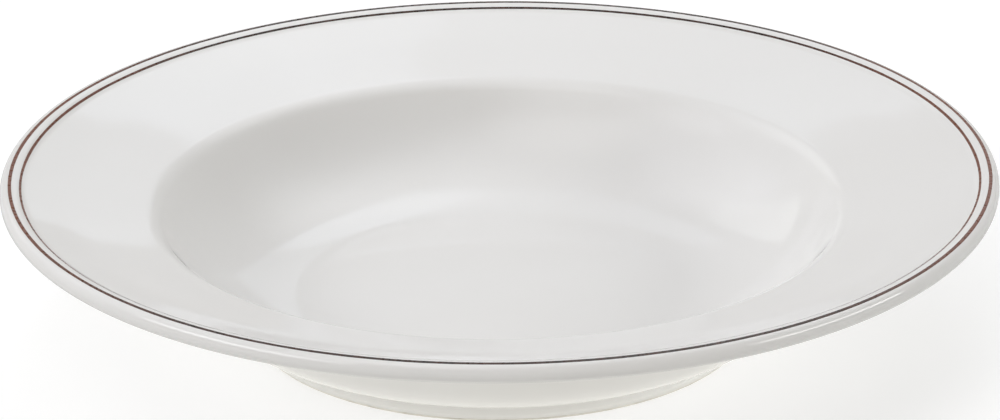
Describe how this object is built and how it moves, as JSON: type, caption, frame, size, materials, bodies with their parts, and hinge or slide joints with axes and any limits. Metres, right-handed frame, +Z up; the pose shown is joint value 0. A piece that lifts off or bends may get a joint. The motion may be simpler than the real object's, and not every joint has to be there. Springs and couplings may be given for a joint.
{
  "type": "rimmed soup plate",
  "caption": "Round rimmed soup plate in white glazed porcelain, with a deep well, a broad sloping rim, a rolled lip with fine brown enamel lines and a low foot ring.",
  "frame": {"origin": "centre of the foot ring, on the plane of its bearing face, which is the table", "axes": "+Z up along the plate's axis of revolution, out of the open well; X and Y lie in the table and are free"},
  "size_m": [0.24, 0.24, 0.0401],
  "materials": {
    "bare_porcelain": "fired porcelain, ground matt on the bearing face of the foot ring",
    "white_glaze": "clear glossy glaze over white porcelain, faintly uneven",
    "brown_enamel": "fired dark brown enamel line, glossy"
  },
  "bodies": {
    "root": {"plate_body": "bare_porcelain", "glaze_coat": "white_glaze", "foot_recess_glaze": "white_glaze", "outer_rim_line": "brown_enamel", "inner_rim_line": "brown_enamel"}
  },
  "joints": []
}
